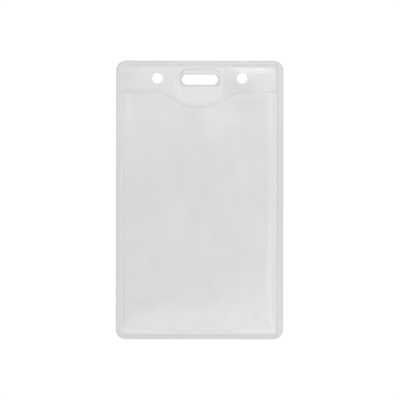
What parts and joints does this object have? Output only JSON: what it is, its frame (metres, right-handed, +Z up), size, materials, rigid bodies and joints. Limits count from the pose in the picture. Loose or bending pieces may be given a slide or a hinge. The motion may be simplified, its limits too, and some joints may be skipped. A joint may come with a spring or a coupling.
{
  "type": "badge holder",
  "caption": "Clear soft vinyl pocket for one upright card, with a welded rim, a thumb notch, a strap slot and chain holes in its header.",
  "frame": {"origin": "middle of the strap slot, in the plane where the front and back sheets meet", "axes": "+Z up towards the top edge, -Y out of the front of the pocket, +X to the right seen from the front"},
  "size_m": [0.0624, 0.0015, 0.1041],
  "materials": {
    "sheet_vinyl": "clear soft vinyl sheet, glossy with a faint haze",
    "weld_vinyl": "clear soft vinyl, heat-welded, glossy"
  },
  "bodies": {
    "root": {"back_sheet": "sheet_vinyl", "front_sheet": "sheet_vinyl", "header_sheet": "sheet_vinyl", "perimeter_weld": "weld_vinyl", "slot_weld": "weld_vinyl"}
  },
  "joints": []
}
